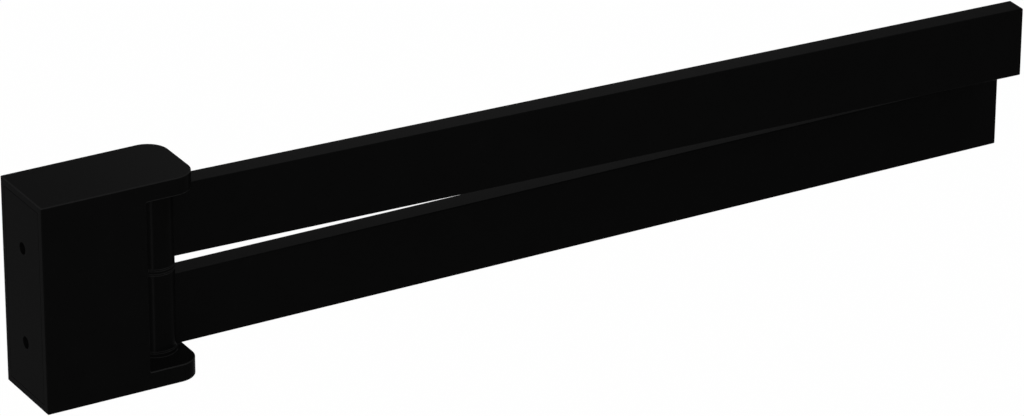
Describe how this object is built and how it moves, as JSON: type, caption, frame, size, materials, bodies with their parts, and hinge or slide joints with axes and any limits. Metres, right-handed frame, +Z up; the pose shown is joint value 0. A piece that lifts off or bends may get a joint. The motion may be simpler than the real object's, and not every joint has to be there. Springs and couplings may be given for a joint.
{
  "type": "double towel bar",
  "caption": "Wall-mounted swivel towel rail: a fork block on a hidden wall plate carries flat rectangular bars, one above the other, that swing sideways on a vertical hinge pin.",
  "frame": {"origin": "middle of the wall face, halfway between the two wall screws", "axes": "+Z up, +Y into the wall, so the bars stand out along -Y; +X along the wall, to the right when facing it"},
  "size_m": [0.0397, 0.45, 0.0872],
  "materials": {
    "black_coat": "matte",
    "black_plate": "matte",
    "black_nylon": "matte",
    "black_screws": "satin",
    "steel_pin": "satin"
  },
  "bodies": {
    "wall_bracket": {"fork_block": "black_coat", "wall_plate": "black_plate", "bracket_grub_screw": "black_screws", "hinge_pin": "steel_pin", "pin_plug": "black_screws", "top_washer": "black_nylon", "middle_washer": "black_nylon", "bottom_washer": "black_nylon"},
    "lower_arm": {"lower_knuckle": "black_coat", "lower_bar": "black_coat", "lower_end_cap": "black_nylon", "lower_bar_screws": "black_screws", "lower_bush_bottom": "black_nylon", "lower_bush_top": "black_nylon"},
    "upper_arm": {"upper_knuckle": "black_coat", "upper_bar": "black_coat", "upper_end_cap": "black_nylon", "upper_bar_screws": "black_screws", "upper_bush_bottom": "black_nylon", "upper_bush_top": "black_nylon"}
  },
  "joints": [
    {"name": "lower_arm_swing", "type": "hinge", "parent": "wall_bracket", "child": "lower_arm", "pos_m": [0, -0.0554, 0], "axis": [0, 0, 1], "range_deg": [-90, 90]},
    {"name": "upper_arm_swing", "type": "hinge", "parent": "wall_bracket", "child": "upper_arm", "pos_m": [0, -0.0554, 0], "axis": [0, 0, 1], "range_deg": [-87.56, 92.44]}
  ]
}
